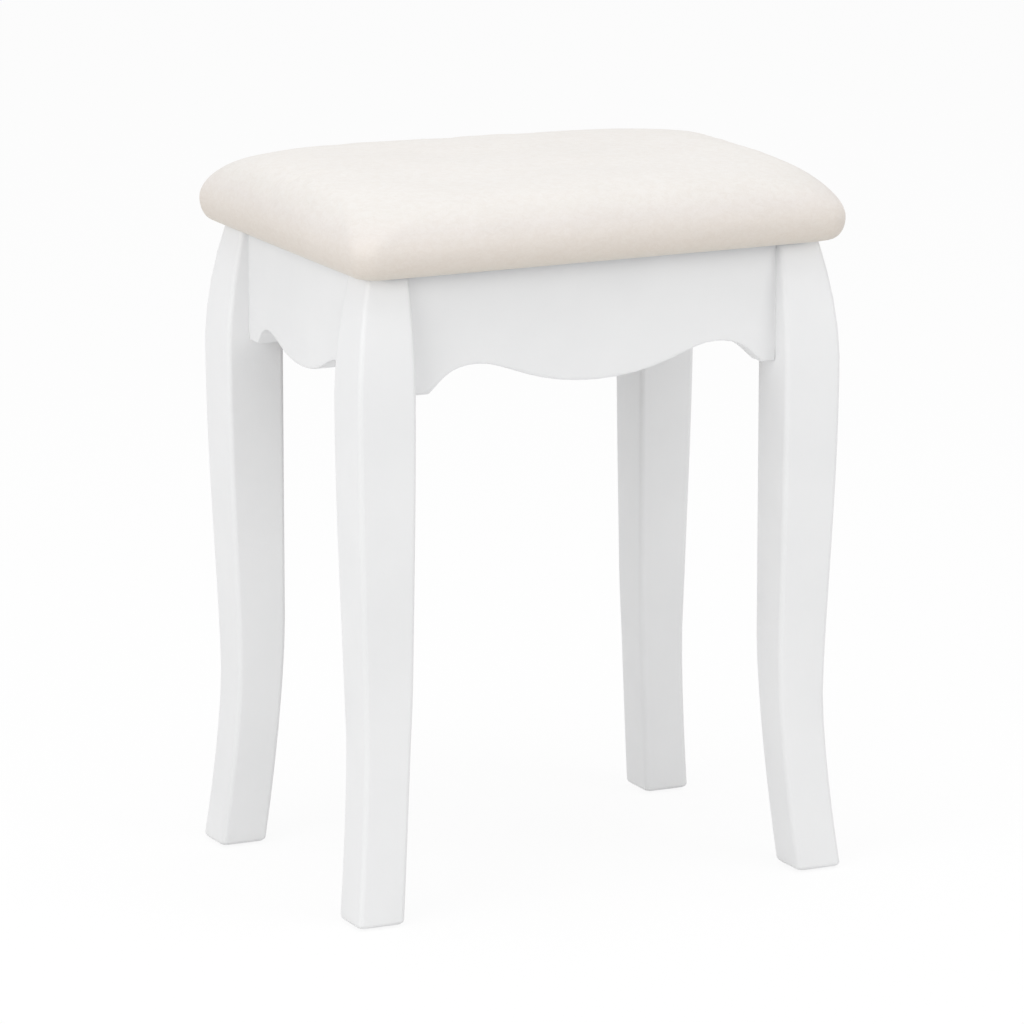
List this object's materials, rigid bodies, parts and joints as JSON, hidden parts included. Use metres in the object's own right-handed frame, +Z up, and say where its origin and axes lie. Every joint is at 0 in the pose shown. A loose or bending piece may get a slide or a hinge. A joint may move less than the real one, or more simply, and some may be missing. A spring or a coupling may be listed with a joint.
{
  "type": "vanity stool",
  "caption": "Upholstered vanity stool with sawn cabriole legs, scalloped aprons and a crowned velvet seat pad.",
  "frame": {"origin": "on the floor, under the middle of the seat", "axes": "+Z up; the long sides face -Y (front) and +Y (back), the short sides -X (left) and +X (right)"},
  "size_m": [0.3378, 0.253, 0.4504],
  "materials": {
    "white_paint": "solid wood, white painted, satin",
    "bare_wood": "bare sawn wood",
    "dowel_wood": "bare turned wood",
    "plywood": "bare plywood",
    "velvet": "short pile velvet, cream",
    "foam": "open cell polyurethane foam",
    "dust_cloth": "black non-woven cloth",
    "felt": "pressed felt",
    "zinc_steel": "zinc plated steel"
  },
  "bodies": {
    "root": {"seat_cover": "velvet", "seat_foam": "foam", "seat_board": "plywood", "dust_cover": "dust_cloth", "apron_front": "white_paint", "apron_back": "white_paint", "apron_left": "white_paint", "apron_right": "white_paint", "leg_front_left": "white_paint", "leg_front_right": "white_paint", "leg_back_left": "white_paint", "leg_back_right": "white_paint", "corner_block_front_left": "bare_wood", "corner_block_front_right": "bare_wood", "corner_block_back_left": "bare_wood", "corner_block_back_right": "bare_wood", "hanger_bolt_front_left": "zinc_steel", "washer_front_left": "zinc_steel", "nut_front_left": "zinc_steel", "seat_screw_front_left": "zinc_steel", "block_screw_front_left_to_front": "zinc_steel", "block_screw_front_left_to_left": "zinc_steel", "hanger_bolt_front_right": "zinc_steel", "washer_front_right": "zinc_steel", "nut_front_right": "zinc_steel", "seat_screw_front_right": "zinc_steel", "block_screw_front_right_to_front": "zinc_steel", "block_screw_front_right_to_right": "zinc_steel", "hanger_bolt_back_left": "zinc_steel", "washer_back_left": "zinc_steel", "nut_back_left": "zinc_steel", "seat_screw_back_left": "zinc_steel", "block_screw_back_left_to_back": "zinc_steel", "block_screw_back_left_to_left": "zinc_steel", "hanger_bolt_back_right": "zinc_steel", "washer_back_right": "zinc_steel", "nut_back_right": "zinc_steel", "seat_screw_back_right": "zinc_steel", "block_screw_back_right_to_back": "zinc_steel", "block_screw_back_right_to_right": "zinc_steel", "front_apron_dowel_left_lower": "dowel_wood", "front_apron_dowel_left_upper": "dowel_wood", "left_apron_dowel_front_lower": "dowel_wood", "left_apron_dowel_front_upper": "dowel_wood", "front_apron_dowel_right_lower": "dowel_wood", "front_apron_dowel_right_upper": "dowel_wood", "right_apron_dowel_front_lower": "dowel_wood", "right_apron_dowel_front_upper": "dowel_wood", "back_apron_dowel_left_lower": "dowel_wood", "back_apron_dowel_left_upper": "dowel_wood", "left_apron_dowel_back_lower": "dowel_wood", "left_apron_dowel_back_upper": "dowel_wood", "back_apron_dowel_right_lower": "dowel_wood", "back_apron_dowel_right_upper": "dowel_wood", "right_apron_dowel_back_lower": "dowel_wood", "right_apron_dowel_back_upper": "dowel_wood", "floor_pad_front_left": "felt", "floor_pad_front_right": "felt", "floor_pad_back_left": "felt", "floor_pad_back_right": "felt"}
  },
  "joints": []
}
